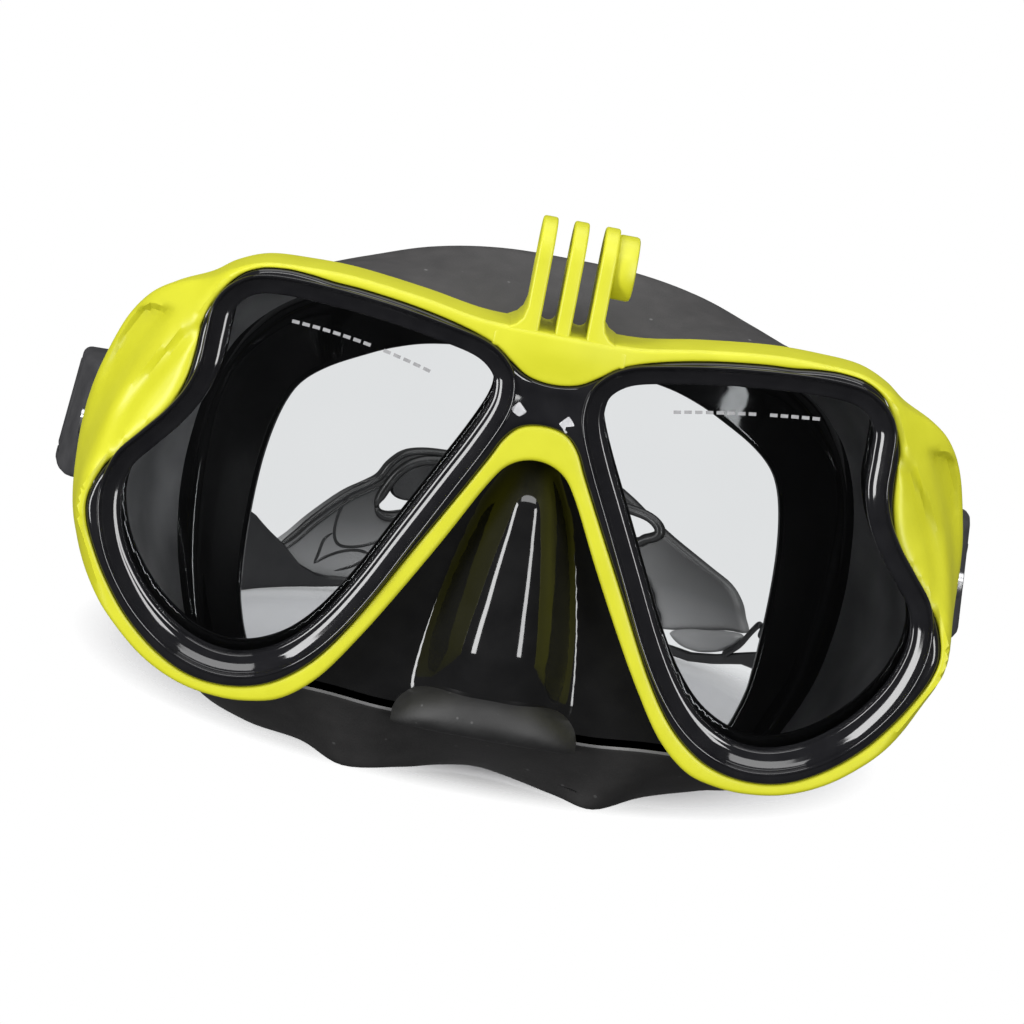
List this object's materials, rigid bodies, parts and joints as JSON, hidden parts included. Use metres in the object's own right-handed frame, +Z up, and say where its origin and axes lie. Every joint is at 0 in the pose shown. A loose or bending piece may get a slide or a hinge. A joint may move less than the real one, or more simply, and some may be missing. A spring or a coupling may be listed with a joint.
{
  "type": "diving mask",
  "caption": "Twin-lens diving mask with moulded camera mount, soft face skirt with nose pocket, and split head strap on swinging roller buckles.",
  "frame": {"origin": "centre of the bounding box in X and Y, on the surface the mask stands on", "axes": "+X to the viewer's right across the face, -Y out through the lenses, +Z up"},
  "size_m": [0.2008, 0.176, 0.1233],
  "materials": {
    "frame_yellow": "satin moulded plastic",
    "frame_gloss_black": "high gloss",
    "lens_glass": "clear tempered glass",
    "skirt_silicone": "moulded silicone, fine matte outside",
    "nose_silicone": "glossy silicone",
    "nut_steel": "plated steel",
    "stud_steel": "stainless steel",
    "buckle_plastic": "moulded plastic",
    "roller_steel": "stainless steel",
    "lever_plastic": "moulded plastic",
    "pin_steel": "stainless steel",
    "spring_steel": "spring steel",
    "strap_silicone": "moulded silicone",
    "keeper_rubber": "moulded silicone"
  },
  "bodies": {
    "mask": {"outer_frame": "frame_yellow", "camera_mount": "frame_yellow", "inner_frame": "frame_gloss_black", "left_lens": "lens_glass", "right_lens": "lens_glass", "skirt": "skirt_silicone", "nose_pocket": "nose_silicone", "mount_nut": "nut_steel", "left_swing_stud": "stud_steel", "right_swing_stud": "stud_steel"},
    "strap_set": {"head_strap": "strap_silicone", "left_buckle": "buckle_plastic", "right_buckle": "buckle_plastic", "left_lever_pin": "pin_steel", "right_lever_pin": "pin_steel", "left_strap_keeper": "keeper_rubber", "right_strap_keeper": "keeper_rubber"},
    "left_roller_body": {"left_roller": "roller_steel"},
    "right_roller_body": {"right_roller": "roller_steel"},
    "left_lever_body": {"left_release_lever": "lever_plastic", "left_lever_spring": "spring_steel"},
    "right_lever_body": {"right_release_lever": "lever_plastic", "right_lever_spring": "spring_steel"}
  },
  "joints": [
    {"name": "strap_swing", "type": "hinge", "parent": "mask", "child": "strap_set", "pos_m": [0, -0.04605, 0.0575], "axis": [1, 0, 0], "range_deg": [-20, 60]},
    {"name": "left_roller_spin", "type": "hinge", "parent": "strap_set", "child": "left_roller_body", "pos_m": [-0.08907, -0.02918, 0.0575], "axis": [0, 0, 1], "continuous": true},
    {"name": "right_roller_spin", "type": "hinge", "parent": "strap_set", "child": "right_roller_body", "pos_m": [0.08907, -0.02918, 0.0575], "axis": [0, 0, 1], "continuous": true},
    {"name": "left_lever_press", "type": "hinge", "parent": "strap_set", "child": "left_lever_body", "pos_m": [-0.09674, -0.02911, 0.0575], "axis": [0, 0, 1], "range_deg": [0, 25], "stiffness_Nm_per_rad": 0.02, "springref_deg": -11.46},
    {"name": "right_lever_press", "type": "hinge", "parent": "strap_set", "child": "right_lever_body", "pos_m": [0.09674, -0.02911, 0.0575], "axis": [0, 0, -1], "range_deg": [0, 25], "stiffness_Nm_per_rad": 0.02, "springref_deg": -11.46}
  ]
}
